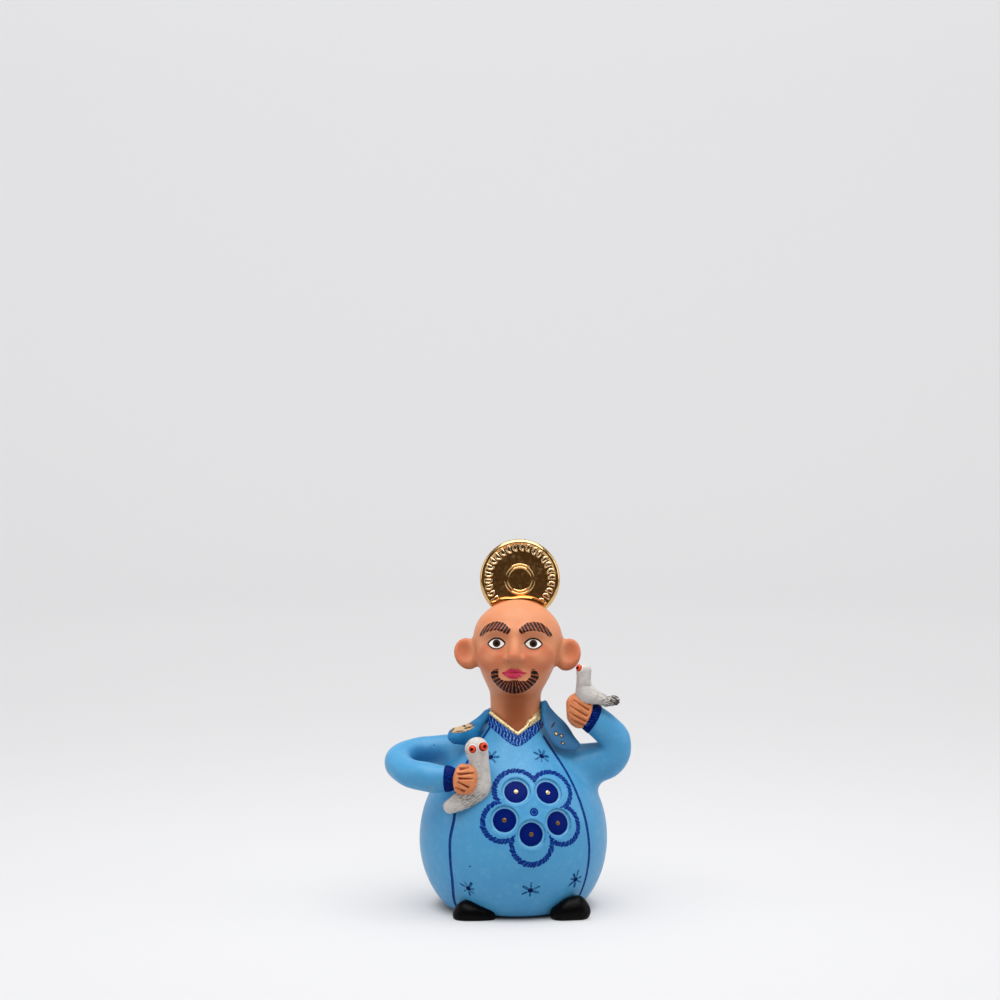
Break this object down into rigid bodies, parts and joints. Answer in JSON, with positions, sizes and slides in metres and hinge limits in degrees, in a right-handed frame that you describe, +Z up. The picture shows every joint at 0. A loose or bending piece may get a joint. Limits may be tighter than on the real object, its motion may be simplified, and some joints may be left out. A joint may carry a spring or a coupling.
{
  "type": "terracotta saint figurine",
  "caption": "Hand-modelled painted terracotta saint with a round robed body, a disc halo, a turned-down collar and a white dove at each hand.",
  "frame": {"origin": "middle of the flat underside of the robe", "axes": "+Z up through the figure, -Y to the front, +X to the right as seen from the front"},
  "size_m": [0.1022, 0.0786, 0.1526],
  "materials": {
    "robe_paint": "satin sky-blue paint on fired clay, with dark-blue brushed lines",
    "flesh_paint": "matt flesh paint on fired clay, with dark-brown pen hatching",
    "gold_lustre": "mirror-bright gold lustre",
    "white_paint": "satin white paint on fired clay, washed grey in the scratches",
    "black_paint": "satin black paint on fired clay"
  },
  "bodies": {
    "root": {"figurine": "robe_paint"}
  },
  "joints": []
}
